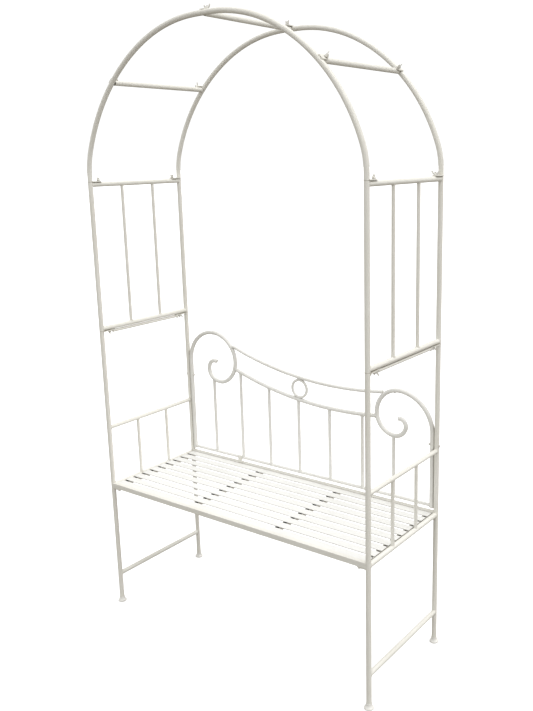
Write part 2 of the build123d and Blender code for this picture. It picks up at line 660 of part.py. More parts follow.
def rail_height(ends_xz, sag, x):
    (x0, z0), (x1, z1) = ends_xz
    chord = math.hypot(x1 - x0, z1 - z0)
    radius = chord * chord / (8 * sag) + sag / 2
    mx, mz = (x0 + x1) / 2, (z0 + z1) / 2
    nx, nz = (z1 - z0) / chord, -(x1 - x0) / chord
    cx, cz = mx - nx * (radius - sag), mz - nz * (radius - sag)
    return cz - math.sqrt(radius * radius - (x - cx) ** 2)


ring_x = 0.0
ring_z = (rail_height(top_rail_ends, top_rail_sag, ring_x) + rail_height(lower_rail_ends, lower_rail_sag, ring_x)) / 2
print("ring z", round(ring_z, 1), "gap", round(rail_height(top_rail_ends, top_rail_sag, ring_x)
      - rail_height(lower_rail_ends, lower_rail_sag, ring_x), 1))
with BuildPart() as backrest_ring:
    with BuildSketch(Plane(origin=(ring_x, back_y, ring_z), x_dir=(1, 0, 0), z_dir=(0, 0, 1))):
        with Locations((ring_r, 0)):
            Circle(ring_rod_r)
    revolve(axis=Axis((ring_x, back_y, ring_z), (0, 1, 0)))
    add(top_rod, mode=Mode.SUBTRACT)
    add(lower_rod, mode=Mode.SUBTRACT)
backrest_ring.part.label = "backrest_ring"
export_step(backrest_ring.part, "parts/backrest_ring.step")

with BuildPart() as backrest_brackets:
    for x in bracket_x:
        with BuildSketch(Plane(origin=(x, back_y - back_rail_r, 475.5), x_dir=(1, 0, 0), z_dir=(0, -1, 0))):
            Rectangle(18, 31)
            with Locations((0, back_rail_z - 475.5)):
                Circle(small_hole_r, mode=Mode.SUBTRACT)
        extrude(amount=3)
    add(rear_rail_solid.part, mode=Mode.SUBTRACT)
    fillet(backrest_brackets.edges().filter_by(Axis.Y).group_by(Axis.Z)[-1], 5)
backrest_brackets.part.label = "backrest_brackets"
export_step(backrest_brackets.part, "parts/backrest_brackets.step")

with BuildPart() as backrest_bolts:
    for x in bracket_x:
        front = back_y - back_rail_r - 3.0
        with BuildSketch(Plane(origin=(x, front, back_rail_z), x_dir=(1, 0, 0), z_dir=(0, -1, 0))):
            Circle(5.0)
        extrude(amount=2.8, taper=20)
        with BuildSketch(Plane(origin=(x, front, back_rail_z), x_dir=(1, 0, 0), z_dir=(0, 1, 0))):
            Circle(small_bolt_r)
        extrude(amount=3 + 2 * back_rail_r + 6)
    for sx, bolt_z in ((-1, left_post_bolt_z), (1, right_post_bolt_z)):
        outside = sx * (half_width + tube_r)
        with BuildSketch(Plane(origin=(outside, back_y, bolt_z), x_dir=(0, 1, 0), z_dir=(sx, 0, 0))):
            Circle(5.0)
        extrude(amount=2.8, taper=20)
        with BuildSketch(Plane(origin=(outside, back_y, bolt_z), x_dir=(0, 1, 0), z_dir=(-sx, 0, 0))):
            Circle(small_bolt_r)
        extrude(amount=half_width + tube_r - stile_x + rod_r + 6)
    # hexagon nuts, screwed up against the rods
    for x in bracket_x:
        with BuildSketch(Plane(origin=(x, back_y + back_rail_r, back_rail_z), x_dir=(1, 0, 0), z_dir=(0, 1, 0))):
            RegularPolygon(4.6, 6)
            Circle(small_bolt_r, mode=Mode.SUBTRACT)
        extrude(amount=4)
    for sx, bolt_z in ((-1, left_post_bolt_z), (1, right_post_bolt_z)):
        with BuildSketch(Plane(origin=(sx * (stile_x - rod_r), back_y, bolt_z), x_dir=(0, 1, 0), z_dir=(-sx, 0, 0))):
            RegularPolygon(4.6, 6)
            Circle(small_bolt_r, mode=Mode.SUBTRACT)
        extrude(amount=4)
backrest_bolts.part.label = "backrest_bolts_and_nuts"
export_step(backrest_bolts.part, "parts/backrest_bolts_and_nuts.step")
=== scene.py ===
import math
import random

import bmesh
import bpy
from mathutils import Matrix, Vector


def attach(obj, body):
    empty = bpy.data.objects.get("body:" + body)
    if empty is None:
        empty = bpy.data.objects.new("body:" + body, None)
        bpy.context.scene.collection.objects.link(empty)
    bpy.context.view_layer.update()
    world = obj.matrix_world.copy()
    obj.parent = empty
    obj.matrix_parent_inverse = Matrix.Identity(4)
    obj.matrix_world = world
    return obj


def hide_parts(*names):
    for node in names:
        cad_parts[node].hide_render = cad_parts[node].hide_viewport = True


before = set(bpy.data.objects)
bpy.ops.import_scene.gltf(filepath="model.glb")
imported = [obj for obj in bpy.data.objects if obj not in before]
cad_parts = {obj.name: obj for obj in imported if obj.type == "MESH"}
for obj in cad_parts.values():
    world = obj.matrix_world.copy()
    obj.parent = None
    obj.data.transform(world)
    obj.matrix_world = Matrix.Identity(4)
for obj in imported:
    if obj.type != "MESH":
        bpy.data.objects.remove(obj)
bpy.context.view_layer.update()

scene = bpy.context.scene
MM = 0.001

# ------------------------------------------------------------------ sizes shared with the CAD, in millimetres
half_width, half_depth = 535.0, 206.5
tube_r, rail_r, rod_r, thin_r = 8.0, 7.0, 7.5, 5.5
top_back_rail_r, lower_back_rail_r, back_rail_r = 6.0, 7.0, 5.8
stretcher_z, arm_z, side_rail_z = 111.0, 673.0, 457.0
lower_joint_z, upper_joint_z, apex_z = 1020.7, 1524.0, 1987.6
ladder_bottom_z, ladder_top_z = lower_joint_z + tube_r, upper_joint_z - tube_r
rung_y = 71.0
tab_t, tab_w = 3.0, 20.0
ladder_bolt_in, crossbar_bolt_in = 35.0, 20.0
lower_frame_rail_r, lower_rail_drop, tongue_reach, nut_clearance = 5.0, 6.5, 22.0, 14.0
nut_gap = 0.15

arch_foot_straight, arch_top_straight = 20.0, 25.0
arch_r1, arch_a1, arch_a2 = 233.4, 18.68, 42.96
arch_a3 = 90.0 - arch_a1 - arch_a2
_c1, _s1 = math.cos(math.radians(arch_a1)), math.sin(math.radians(arch_a1))
_c2, _s2 = math.cos(math.radians(arch_a1 + arch_a2)), math.sin(math.radians(arch_a1 + arch_a2))
_dx = half_width - arch_top_straight - arch_r1 * (1 - _c1)
_dz = apex_z - upper_joint_z - arch_foot_straight - arch_r1 * _s1
_det = (_c1 - _c2) * (1 - _s2) - _c2 * (_s2 - _s1)
arch_r2 = (_dx * (1 - _s2) - _c2 * _dz) / _det
_t = math.radians(44.40)
mid_bar_x = half_width - arch_r1 * (1 - _c1) - arch_r2 * (_c1 - math.cos(_t))
mid_bar_z = upper_joint_z + arch_foot_straight + arch_r1 * _s1 + arch_r2 * (math.sin(_t) - _s1)

back_y, back_rail_z, stile_x = half_depth, 484.0, 519.2
left_scroll_start_z, right_scroll_start_z = 837.0, 723.5
left_scroll = ((118.0, 79.0), (111.0, 72.5), (89.5, 87.5), (67.5, 57.5), (42.5, 88.0), (27.0, 88.0))
right_scroll = ((126.0, 84.0), (82.5, 104.0), (71.5, 73.0), (42.5, 82.0), (25.5, 53.0), (21.0, 67.0))
top_rail_ends, top_rail_sag = ((-303.0, 912.0), (338.0, 836.0)), 39.0
lower_rail_ends, lower_rail_sag = ((-298.0, 828.0), (316.0, 751.0)), 35.0
spindle_x = (-404.0, -271.0, -138.0, -6.0, 126.0, 258.0, 379.0)
ring_r, ring_rod_r = 31.0, 4.8

# ------------------------------------------------------------------ materials


def node(tree, kind, at, **values):
    n = tree.nodes.new(kind)
    n.location = at
    for key, value in values.items():
        setattr(n, key, value)
    return n


def powder_coat(name, light, mid, crevice_shade, rough=(0.34, 0.46), peel=0.16, channel_painted_shade=None, seams=None):
    """Cream powder coat: soft clouds of tone, faint specks, painted warm shade in the crevices, orange-peel bump."""
    m = bpy.data.materials.new(name)
    m.use_nodes = True
    t = m.node_tree
    t.nodes.clear()
    out = node(t, "ShaderNodeOutputMaterial", (900, 0))
    bsdf = node(t, "ShaderNodeBsdfPrincipled", (600, 0))
    t.links.new(bsdf.outputs[0], out.inputs[0])
    co = node(t, "ShaderNodeTexCoord", (-1300, 0))

    clouds = node(t, "ShaderNodeTexNoise", (-1000, 260))
    clouds.inputs["Scale"].default_value = 7.0
    clouds.inputs["Detail"].default_value = 5.0
    clouds.inputs["Roughness"].default_value = 0.55
    t.links.new(co.outputs["Object"], clouds.inputs["Vector"])
    ramp = node(t, "ShaderNodeValToRGB", (-760, 260))
    ramp.color_ramp.elements[0].position = 0.34
    ramp.color_ramp.elements[0].color = (*mid, 1)
    ramp.color_ramp.elements[1].position = 0.66
    ramp.color_ramp.elements[1].color = (*light, 1)
    t.links.new(clouds.outputs["Fac"], ramp.inputs["Fac"])

    specks = node(t, "ShaderNodeTexNoise", (-1000, 20))
    specks.inputs["Scale"].default_value = 420.0
    specks.inputs["Detail"].default_value = 3.0
    t.links.new(co.outputs["Object"], specks.inputs["Vector"])
    speck_ramp = node(t, "ShaderNodeValToRGB", (-760, 20))
    speck_ramp.color_ramp.elements[0].position = 0.24
    speck_ramp.color_ramp.elements[0].color = (0.90, 0.885, 0.86, 1)
    speck_ramp.color_ramp.elements[1].position = 0.42
    speck_ramp.color_ramp.elements[1].color = (1, 1, 1, 1)
    t.links.new(specks.outputs["Fac"], speck_ramp.inputs["Fac"])
    mul = node(t, "ShaderNodeMix", (-480, 180), data_type="RGBA", blend_type="MULTIPLY")
    mul.inputs[0].default_value = 1.0
    t.links.new(ramp.outputs["Color"], mul.inputs[6])
    t.links.new(speck_ramp.outputs["Color"], mul.inputs[7])

    # painted shade: the crevices that ambient occlusion finds are darkened towards a warm grey, where shade falls
    ao = node(t, "ShaderNodeAmbientOcclusion", (-760, -220), samples=6)
    ao.inputs["Distance"].default_value = 0.007
    ao_map = node(t, "ShaderNodeMapRange", (-480, -160))
    ao_map.inputs["From Min"].default_value = 0.25
    ao_map.inputs["From Max"].default_value = 0.80
    ao_map.inputs["To Min"].default_value = 0.72
    ao_map.inputs["To Max"].default_value = 0.0
    t.links.new(ao.outputs["AO"], ao_map.inputs["Value"])
    crev = node(t, "ShaderNodeMix", (-220, 120), data_type="RGBA", blend_type="MIX")
    crev.inputs[7].default_value = (*crevice_shade, 1)
    t.links.new(ao_map.outputs["Result"], crev.inputs[0])
    t.links.new(mul.outputs[2], crev.inputs[6])
    colour = crev.outputs[2]

    if channel_painted_shade:
        # painted shade: the inside of the seat's channels, seen through the gaps between slats, is coloured near-black
        # in place of the shade there
        geo = node(t, "ShaderNodeNewGeometry", (-1000, -520))
        sep = node(t, "ShaderNodeSeparateXYZ", (-800, -520))
        t.links.new(co.outputs["Object"], sep.inputs[0])
        total = None
        for k, x in enumerate(channel_painted_shade["x"]):
            d = node(t, "ShaderNodeMath", (-620, -520 - 160 * k), operation="COMPARE")
            d.inputs[1].default_value = x
            d.inputs[2].default_value = channel_painted_shade["half"]
            t.links.new(sep.outputs[0], d.inputs[0])
            if total is None:
                total = d.outputs[0]
            else:
                s = node(t, "ShaderNodeMath", (-440, -520 - 160 * k), operation="MAXIMUM")
                t.links.new(total, s.inputs[0])
                t.links.new(d.outputs[0], s.inputs[1])
                total = s.outputs[0]
        low = node(t, "ShaderNodeMath", (-620, -1180), operation="GREATER_THAN")
        low.inputs[1].default_value = channel_painted_shade["low"]
        t.links.new(sep.outputs[2], low.inputs[0])
        both = node(t, "ShaderNodeMath", (-260, -700), operation="MULTIPLY")
        t.links.new(total, both.inputs[0])
        t.links.new(low.outputs[0], both.inputs[1])
        inner = node(t, "ShaderNodeMix", (40, -60), data_type="RGBA", blend_type="MIX")
        inner.inputs[7].default_value = (*channel_painted_shade["colour"], 1)
        t.links.new(both.outputs[0], inner.inputs[0])
        t.links.new(colour, inner.inputs[6])
        colour = inner.outputs[2]
        t.nodes.remove(geo)

    if seams:
        # painted shade, with a little dust: the groove between two tube ends, and the line where a tab meets them, are
        # darkened
        sep = node(t, "ShaderNodeSeparateXYZ", (-800, 620))
        t.links.new(co.outputs["Object"], sep.inputs[0])
        total = None
        for k, z in enumerate(seams["z"]):
            d = node(t, "ShaderNodeMath", (-620, 620 + 160 * k), operation="COMPARE")
            d.inputs[1].default_value = z
            d.inputs[2].default_value = seams["half"]
            t.links.new(sep.outputs[2], d.inputs[0])
            if total is None:
                total = d.outputs[0]
            else:
                s = node(t, "ShaderNodeMath", (-440, 620), operation="MAXIMUM")
                t.links.new(total, s.inputs[0])
                t.links.new(d.outputs[0], s.inputs[1])
                total = s.outputs[0]
        away = node(t, "ShaderNodeMath", (-620, 940), operation="ABSOLUTE")
        t.links.new(sep.outputs[1], away.inputs[0])
        far = node(t, "ShaderNodeMath", (-440, 940), operation="GREATER_THAN")
        far.inputs[1].default_value = seams["beyond"]
        t.links.new(away.outputs[0], far.inputs[0])
        both = node(t, "ShaderNodeMath", (-260, 700), operation="MULTIPLY")
        t.links.new(total, both.inputs[0])
        t.links.new(far.outputs[0], both.inputs[1])
        line = node(t, "ShaderNodeMix", (160, 160), data_type="RGBA", blend_type="MIX")
        line.inputs[7].default_value = (*(0.5 * d + 0.5 * m for d, m in zip(crevice_shade, mid)), 1)
        t.links.new(both.outputs[0], line.inputs[0])
        t.links.new(colour, line.inputs[6])
        colour = line.outputs[2]
    t.links.new(colour, bsdf.inputs["Base Color"])

    gloss = node(t, "ShaderNodeTexNoise", (-1000, -1400))
    gloss.inputs["Scale"].default_value = 38.0
    gloss.inputs["Detail"].default_value = 4.0
    t.links.new(co.outputs["Object"], gloss.inputs["Vector"])
    gloss_map = node(t, "ShaderNodeMapRange", (-760, -1400))
    gloss_map.inputs["From Min"].default_value = 0.3
    gloss_map.inputs["From Max"].default_value = 0.7
    gloss_map.inputs["To Min"].default_value = rough[0]
    gloss_map.inputs["To Max"].default_value = rough[1]
    t.links.new(gloss.outputs["Fac"], gloss_map.inputs["Value"])
    t.links.new(gloss_map.outputs["Result"], bsdf.inputs["Roughness"])

    peel_tex = node(t, "ShaderNodeTexNoise", (-1000, -1700))
    peel_tex.inputs["Scale"].default_value = 520.0
    peel_tex.inputs["Detail"].default_value = 2.0
    peel_tex.inputs["Roughness"].default_value = 0.4
    t.links.new(co.outputs["Object"], peel_tex.inputs["Vector"])
    waves = node(t, "ShaderNodeTexNoise", (-1000, -1950))
    waves.inputs["Scale"].default_value = 60.0
    waves.inputs["Detail"].default_value = 2.0
    t.links.new(co.outputs["Object"], waves.inputs["Vector"])
    bump_a = node(t, "ShaderNodeBump", (-480, -1950))
    bump_a.inputs["Strength"].default_value = 0.10
    bump_a.inputs["Distance"].default_value = 0.0008
    t.links.new(waves.outputs["Fac"], bump_a.inputs["Height"])
    bump_b = node(t, "ShaderNodeBump", (-220, -1700))
    bump_b.inputs["Strength"].default_value = peel
    bump_b.inputs["Distance"].default_value = 0.0003
    t.links.new(peel_tex.outputs["Fac"], bump_b.inputs["Height"])
    t.links.new(bump_a.outputs["Normal"], bump_b.inputs["Normal"])
    t.links.new(bump_b.outputs["Normal"], bsdf.inputs["Normal"])
    bsdf.inputs["IOR"].default_value = 1.48
    return m


# the dark tone of each coat is painted shade, mixed in where crevices and seams are shaded
cream = dict(light=(0.850, 0.835, 0.775), mid=(0.812, 0.793, 0.722), crevice_shade=(0.28, 0.240, 0.17))
frame_mat = powder_coat("powder_coat_frame", **cream,
                        seams={"z": (1.0207, 1.524), "half": 0.0008, "beyond": 0.1978})
# the channel's near-black colour is painted shade inside the seat's supports, under the slats
channel_mat = powder_coat("powder_coat_channel", **cream,
                          channel_painted_shade={"x": (-0.515, -0.172, 0.172), "half": 0.0079, "low": 0.4489,
                                  "colour": (0.045, 0.043, 0.040)})
slat_mat = powder_coat("powder_coat_slats", light=(0.870, 0.864, 0.834), mid=(0.832, 0.826, 0.790),
                       crevice_shade=(0.42, 0.39, 0.33), rough=(0.38, 0.50), peel=0.12)
rod_mat = powder_coat("powder_coat_rods", light=(0.845, 0.838, 0.800), mid=(0.800, 0.789, 0.742),
                      crevice_shade=(0.32, 0.295, 0.24))
bolt_mat = powder_coat("powder_coat_fasteners", light=(0.830, 0.818, 0.770), mid=(0.770, 0.755, 0.700),
                       crevice_shade=(0.22, 0.195, 0.15), rough=(0.30, 0.44), peel=0.22)
cap_mat = powder_coat("foot_cap_coat", light=(0.860, 0.850, 0.810), mid=(0.825, 0.812, 0.765),
                      crevice_shade=(0.36, 0.32, 0.25), rough=(0.42, 0.55), peel=0.08)


def material_for(name):
    if name == "seat_supports":
        return channel_mat
    if name == "seat_slats":
        return slat_mat
    if name.startswith("backrest_") and "bolt" not in name and "bracket" not in name:
        return rod_mat
    if "bolt" in name or "stud" in name or "wing_nut" in name:
        return bolt_mat
    if name == "foot_caps":
        return cap_mat
    return frame_mat


for name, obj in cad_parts.items():
    obj.data.materials.clear()
    obj.data.materials.append(material_for(name))

# ------------------------------------------------------------------ mesh helpers


def finish_piece(bm, name, material, body, smooth_angle=40.0):
    bmesh.ops.remove_doubles(bm, verts=bm.verts, dist=1e-7)
    bmesh.ops.recalc_face_normals(bm, faces=bm.faces)
    mesh = bpy.data.meshes.new(name)
    bm.to_mesh(mesh)
    bm.free()
    for p in mesh.polygons:
        p.use_smooth = True
    if smooth_angle:
        mesh.set_sharp_from_angle(angle=math.radians(smooth_angle))
    mesh.materials.append(material)
    o = bpy.data.objects.new(name, mesh)
    scene.collection.objects.link(o)
    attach(o, body)
    return o


def sweep_rings(bm, rings, closed):
    """Skins a list of rings of vertices; an open run gets rounded ends."""
    n = len(rings[0])
    count = len(rings)
    for i in range(count if closed else count - 1):
        a, b = rings[i], rings[(i + 1) % count]
        for k in range(n):
            bm.faces.new((a[k], a[(k + 1) % n], b[(k + 1) % n], b[k]))
    if not closed:
        for ring, flip in ((rings[0], True), (rings[-1], False)):
            c = bm.verts.new(sum((v.co for v in ring), Vector()) / n)
            for k in range(n):
                bm.faces.new((ring[(k + 1) % n], ring[k], c) if flip else (ring[k], ring[(k + 1) % n], c))


def bead(bm, pts, radius, closed, ref=None, seed=0, sides=8):
    """A weld bead along points in millimetres: a run of overlapping ripples."""
    rng = random.Random(seed)
    n = len(pts)
    centre = sum(pts, Vector()) / n
    rings = []
    for i, p in enumerate(pts):
        a = pts[(i - 1) % n] if closed or i > 0 else p
        b = pts[(i + 1) % n] if closed or i < n - 1 else p
        t = (b - a).normalized()
        u = (ref if ref is not None else (p - centre))
        u = (u - t * u.dot(t)).normalized()
        w = t.cross(u)
        r = radius * (1.0 + 0.13 * math.sin(i * 2 * math.pi / 4.0) + rng.uniform(-0.07, 0.07))
        if not closed:
            edge = min(i, n - 1 - i)
            r *= (0.45, 0.75, 0.93)[edge] if edge < 3 else 1.0
        ring = []
        for k in range(sides):
            f = 2 * math.pi * k / sides
            ring.append(bm.verts.new((p + (u * math.cos(f) + w * math.sin(f)) * r) * MM))
        rings.append(ring)
    sweep_rings(bm, rings, closed)


def saddle(bm, p, a, b, r, big, radius=1.3, seed=0, half=None):
    """Bead round the foot of a tube of radius r, axis a from point p, that stands on a tube of radius big along b."""
    p, a, b = Vector(p), Vector(a).normalized(), Vector(b).normalized()
    b = (b - a * b.dot(a)).normalized()
    u = a.cross(b)
    n = max(24, int(2 * math.pi * r / 0.55))
    pts = []
    for i in range(n):
        f = 2 * math.pi * i / n
        c, s = math.cos(f), math.sin(f)
        h = math.sqrt(max(big * big - (r * c) ** 2, 0.0))
        q = p + a * (h + 0.25) + (u * c + b * s) * (r + 0.15)
        pts.append(q)
    if half is not None:
        keep = [q for q in pts if (q - p).dot(half) > 1.0]
        # put the kept run in order
        start = next(i for i in range(n) if (pts[i] - p).dot(half) > 1.0 and (pts[i - 1] - p).dot(half) <= 1.0)
        run = []
        i = start
        while (pts[i % n] - p).dot(half) > 1.0 and len(run) < n:
            run.append(pts[i % n])
            i += 1
        bead(bm, run, radius, False, ref=a, seed=seed)
        return
    bead(bm, pts, radius, True, seed=seed)


# ------------------------------------------------------------------ weld beads of the side frames
seed = 1
bm = bmesh.new()
for sx in (-1, 1):
    px = sx * half_width
    for sy in (-1, 1):
        for z, r in ((stretcher_z, tube_r - 0.3), (arm_z, rail_r), (ladder_bottom_z, tube_r - 0.3), (ladder_top_z, tube_r - 0.3)):
            saddle(bm, (px, sy * half_depth, z), (0, -sy, 0), (0, 0, 1), r, tube_r, 1.25, seed)
            seed += 1
        saddle(bm, (px, sy * half_depth, side_rail_z), (0, -sy, 0), (0, 0, 1), tube_r - 0.3, tube_r, 1.2, seed,
               half=Vector((sx, 0, 0)))
        seed += 1
        y = sy * rung_y
        saddle(bm, (px, y, side_rail_z), (0, 0, 1), (0, 1, 0), thin_r, tube_r, 1.1, seed)
        saddle(bm, (px, y, arm_z), (0, 0, -1), (0, 1, 0), thin_r, rail_r, 1.1, seed + 1)
        saddle(bm, (px, y, ladder_bottom_z), (0, 0, 1), (0, 1, 0), thin_r, tube_r, 1.1, seed + 2)
        saddle(bm, (px, y, ladder_top_z), (0, 0, -1), (0, 1, 0), thin_r, tube_r, 1.1, seed + 3)
        seed += 4
        # tabs on the posts: a bead round the post on the tab's free face
        for z in (lower_joint_z - tab_t - 0.15, upper_joint_z + tab_t + 0.15):
            run = []
            for i in range(45):
                f = math.radians(-88 + 176 * i / 44)
                run.append(Vector((px + (tube_r + 0.2) * math.sin(f), sy * (half_depth - (tube_r + 0.2) * math.cos(f)), z)))
            bead(bm, run, 1.1, False, ref=Vector((0, 0, 1)), seed=seed)
            seed += 1
        # the lower frame's top rail under the tab's tongue
        by = half_depth - ladder_bolt_in
        for k in (-1, 1):
            run = [Vector((px + k * 4.5, sy * (by - nut_clearance - (tongue_reach - nut_clearance) * i / 17),
                           lower_joint_z - tab_t - 0.5)) for i in range(18)]
            bead(bm, run, 0.95, False, ref=Vector((0, 0, 1)), seed=seed)
            seed += 1
        run = []
        for i in range(21):
            x = -4.2 + 8.4 * i / 20
            top = lower_joint_z - lower_rail_drop + math.sqrt(lower_frame_rail_r ** 2 - x * x)
            run.append(Vector((px + x, sy * (by - tongue_reach - 0.4), max(top, lower_joint_z - tab_t) + 0.15)))
        bead(bm, run, 0.95, False, ref=Vector((0, 0, 1)), seed=seed)
        seed += 1
finish_piece(bm, "welds_side_frames", frame_mat, "arch_frame")

# ------------------------------------------------------------------ backrest curves


def scroll_points(sx, start_z, bends, step=1.5):
    x, z = sx * stile_x, start_z
    d = Vector((0.0, 1.0))
    pts = [(Vector((x, back_rail_z)), Vector((0, 1))), (Vector((x, z)), d.copy())]
    for r, a in bends:
        ang = math.radians(a) * sx
        n = max(2, int(abs(ang) * r / step))
        left = Vector((-d.y, d.x)) * (1 if ang > 0 else -1)
        c = Vector((x, z)) + left * r
        v0 = Vector((x, z)) - c
        d0 = d.copy()
        for i in range(1, n + 1):
            f = ang * i / n
            cs, sn = math.cos(f), math.sin(f)
            v = Vector((v0.x * cs - v0.y * sn, v0.x * sn + v0.y * cs))
            d = Vector((d0.x * cs - d0.y * sn, d0.x * sn + d0.y * cs))
            pts.append((c + v, d.copy()))
        x, z = pts[-1][0]
    return pts


def rail_at(ends, sag, x):
    (x0, z0), (x1, z1) = ends
    chord = math.hypot(x1 - x0, z1 - z0)
    radius = chord * chord / (8 * sag) + sag / 2
    mx, mz = (x0 + x1) / 2, (z0 + z1) / 2
    nx, nz = (z1 - z0) / chord, -(x1 - x0) / chord
    cx, cz = mx - nx * (radius - sag), mz - nz * (radius - sag)
    z = cz - math.sqrt(radius * radius - (x - cx) ** 2)
    tx, tz = -(z - cz) / radius, (x - cx) / radius
    return z, Vector((tx, 0, tz)).normalized()


scrolls = {"left": scroll_points(-1, left_scroll_start_z, left_scroll),
           "right": scroll_points(1, right_scroll_start_z, right_scroll)}


def on_scroll(side, x, low=None):
    """First point of a scroll, from the stile, that passes over x."""
    pts = scrolls[side]
    for (p, d), (q, e) in zip(pts[1:], pts[2:]):
        if (p.x - x) * (q.x - x) <= 0 and p.x != q.x:
            k = (x - p.x) / (q.x - p.x)
            return p + (q - p) * k, Vector((d.x, 0, d.y))
    raise ValueError("the scroll doesn't reach x = %s" % x)


def nearest(side, p):
    return min(scrolls[side][2:], key=lambda s: (s[0] - Vector(p)).length)


bm = bmesh.new()
for i, x in enumerate(spindle_x):
    saddle(bm, (x, back_y, back_rail_z), (0, 0, 1), (1, 0, 0), thin_r, back_rail_r, 0.95, seed)
    seed += 1
    if i in (0, len(spindle_x) - 1):
        q, d = on_scroll("left" if i == 0 else "right", x)
        saddle(bm, (x, back_y, q.y), (0, 0, -1), tuple(d), thin_r, rod_r, 0.95, seed)
    else:
        z, t = rail_at(lower_rail_ends, lower_rail_sag, x)
        saddle(bm, (x, back_y, z), (0, 0, -1), tuple(t), thin_r, lower_back_rail_r, 0.95, seed)
    seed += 1
for ends, sag, r in ((top_rail_ends, top_rail_sag, top_back_rail_r),
                     (lower_rail_ends, lower_rail_sag, lower_back_rail_r)):
    for side, (x, z), inward in (("left", ends[0], 1), ("right", ends[1], -1)):
        q, d = nearest(side, (x, z))
        zz, t = rail_at(ends, sag, x)
        a = t * inward
        b = Vector((d.x, 0, d.y))
        if abs(a.dot(b)) < 0.9:
            saddle(bm, (q.x, back_y, q.y), tuple(a), tuple(b), r, rod_r, 0.95, seed)
        seed += 1
for s in (-1, 1):
    saddle(bm, (s * stile_x, back_y, back_rail_z), (-s, 0, 0), (0, 0, 1), back_rail_r, rod_r, 0.95, seed)
    seed += 1
zt, tt = rail_at(top_rail_ends, top_rail_sag, 0.0)
zl, tl = rail_at(lower_rail_ends, lower_rail_sag, 0.0)
ring_z = (zt + zl) / 2
for z, t, sgn, r in ((zt, tt, -1, top_back_rail_r), (zl, tl, 1, lower_back_rail_r)):
    n = Vector((-t.z, 0, t.x))
    p = Vector((0, back_y, z)) + n * sgn * (r - 0.85)
    for k in (-1, 1):
        run = []
        for i in range(27):
            d = -8.6 + 17.2 * i / 26
            run.append(p + t * d + Vector((0, k * 3.2 * math.sqrt(max(0.15, 1 - (d / 9.8) ** 2)), 0)))
        bead(bm, run, 0.9, False, ref=Vector((0, 0, 1)), seed=seed)
        seed += 1
finish_piece(bm, "welds_backrest", rod_mat, "arch_frame")

# ------------------------------------------------------------------ arch crossings
ear_face = 7.7
crossings = {
    "left": ((-mid_bar_x, mid_bar_z), (-math.cos(_t), math.sin(_t))),
    "top": ((0.0, apex_z), (0.0, 1.0)),
    "right": ((mid_bar_x, mid_bar_z), (math.cos(_t), math.sin(_t))),
}


def crossing_point(name, y, out_offset):
    (cx, cz), (ox, oz) = crossings[name]
    return Vector((cx + ox * out_offset, y, cz + oz * out_offset))


bm = bmesh.new()
for name, ((cx, cz), (ox, oz)) in crossings.items():
    along = Vector((oz, 0, -ox))
    outv = Vector((ox, 0, oz))
    for sy in (-1, 1):
        # the ear on the arch tube's back: a bead along its end and one under it
        for yy, radius in ((-3.2, 1.05), (3.9, 1.0)):
            height = math.sqrt(tube_r ** 2 - yy ** 2) + 0.35
            n = 34
            mid = crossing_point(name, sy * (half_depth - yy), height)
            run = [mid + along * (-8.2 + 16.4 * i / (n - 1)) for i in range(n)]
            bead(bm, run, radius, False, ref=outv, seed=seed)
            seed += 1
finish_piece(bm, "welds_arch", frame_mat, "arch_frame")

# ------------------------------------------------------------------ welds of the seat
bm = bmesh.new()
front_face_y = -half_depth + 7.5
for x in (-515.0, -172.0, 172.0, 515.0):
    run = []
    for i in range(36):
        run.append(Vector((x - 8.7 + 17.4 * i / 35, front_face_y + 0.3, 447.85)))
    bead(bm, run, 1.05, False, ref=Vector((0, 0, 1)), seed=seed)
    seed += 1
for sx in (-1, 1):
    px = sx * half_width
    for sy, z in ((-1, 458.0), (1, 460.0)):
        # seat rails against the posts
        run = []
        hy = 7.3 if sy < 0 else 7.6
        hz = 8.9 if sy < 0 else 7.6
        for i in range(88):
            f = 2 * math.pi * i / 88
            c, s = math.cos(f), math.sin(f)
            if sy < 0:
                k = 1.0 / max(abs(c), abs(s))
                yy, zz = hy * max(-1, min(1, c * k * 1.02)), hz * max(-1, min(1, s * k * 1.02))
            else:
                yy, zz = hy * c, hz * s
            xx = math.sqrt(max(tube_r ** 2 - yy ** 2, 0.0))
            run.append(Vector((px - sx * (xx + 0.2), sy * half_depth + yy, z + zz)))
        bead(bm, run, 0.95, True, seed=seed)
        seed += 1
finish_piece(bm, "welds_seat", frame_mat, "arch_frame")

# ------------------------------------------------------------------ studs and wing nuts of the frame
joints = []
for side, sx in (("left", -1), ("right", 1)):
    for end, sy in (("front", -1), ("rear", 1)):
        px, by = sx * half_width, sy * (half_depth - ladder_bolt_in)
        joints.append((end + "_" + side + "_upper", Vector((px, by, upper_joint_z + tab_t)), Vector((0, 0, 1)),
                       tab_t + 2 * tube_r))
        joints.append((end + "_" + side + "_lower", Vector((px, by, lower_joint_z - tab_t)), Vector((0, 0, -1)),
                       tab_t + 2 * tube_r))
for name, ((cx, cz), (ox, oz)) in crossings.items():
    for end, sy in (("front", -1), ("rear", 1)):
        by = sy * (half_depth - crossbar_bolt_in)
        joints.append((end + "_" + name + "_crossbar", crossing_point(name, by, ear_face + tab_t), Vector((ox, 0, oz)),
                       tab_t + 2 * tube_r))
wing_turn = {
    "front_left_upper": 35, "front_left_lower": 120, "rear_left_upper": 70, "rear_left_lower": 20,
    "front_right_upper": 20, "front_right_lower": 60, "rear_right_upper": 95, "rear_right_lower": 10,
    "front_left_crossbar": 80, "rear_left_crossbar": 100, "front_top_crossbar": 85, "rear_top_crossbar": 60,
    "front_right_crossbar": 40, "rear_right_crossbar": 15,
}


def placed(seat, out, turn):
    x0 = Vector((0, 1, 0))
    y0 = out.cross(x0)
    a = math.radians(turn)
    x = (x0 * math.cos(a) + y0 * math.sin(a)).normalized()
    z = out.normalized()
    y = z.cross(x)
    m = Matrix((x, y, z)).transposed().to_4x4()
    m.translation = seat * MM
    return m


